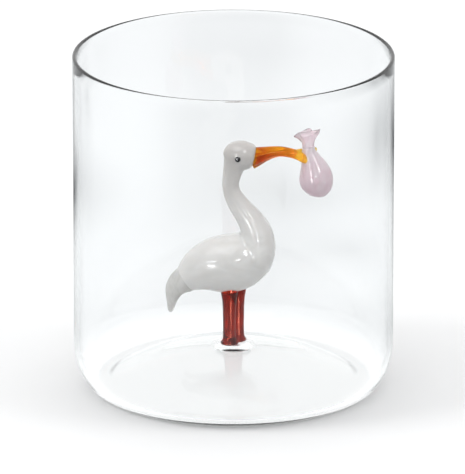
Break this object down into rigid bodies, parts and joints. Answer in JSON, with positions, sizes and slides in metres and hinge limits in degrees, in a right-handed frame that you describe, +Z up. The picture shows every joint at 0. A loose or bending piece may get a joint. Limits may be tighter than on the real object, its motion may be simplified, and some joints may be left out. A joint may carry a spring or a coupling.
{
  "type": "drinking glass with a glass stork inside",
  "caption": "Clear blown glass tumbler with a coloured glass stork fused to the middle of its floor, a small pink bundle hanging from its beak.",
  "frame": {"origin": "centre of the foot ring, on the surface that the glass stands on", "axes": "+Z up along the tumbler's axis, +X the way the stork faces, -Y the stork's right side"},
  "size_m": [0.08, 0.08, 0.0855],
  "materials": {
    "clear_glass": "clear blown glass, polished",
    "white_glass": "opaque white opal glass, fire polished",
    "tail_glass": "clear greyish glass drawn over a white core, fire polished",
    "amber_glass": "transparent amber glass, redder at the root, fire polished",
    "red_glass": "deep transparent brownish red glass, fire polished",
    "eye_glass": "opaque black glass bead, glossy",
    "pink_glass": "pale pink opal glass, fire polished",
    "pink_clear_glass": "thin pale pink glass, nearly clear at the edge"
  },
  "bodies": {
    "root": {"tumbler": "clear_glass", "foot_pad": "clear_glass", "right_leg": "red_glass", "left_leg": "red_glass", "body": "white_glass", "tail": "tail_glass", "neck": "white_glass", "head": "white_glass", "right_eye": "eye_glass", "left_eye": "eye_glass", "upper_beak": "amber_glass", "lower_beak": "amber_glass", "bundle": "pink_glass", "bundle_gather": "pink_clear_glass"}
  },
  "joints": []
}
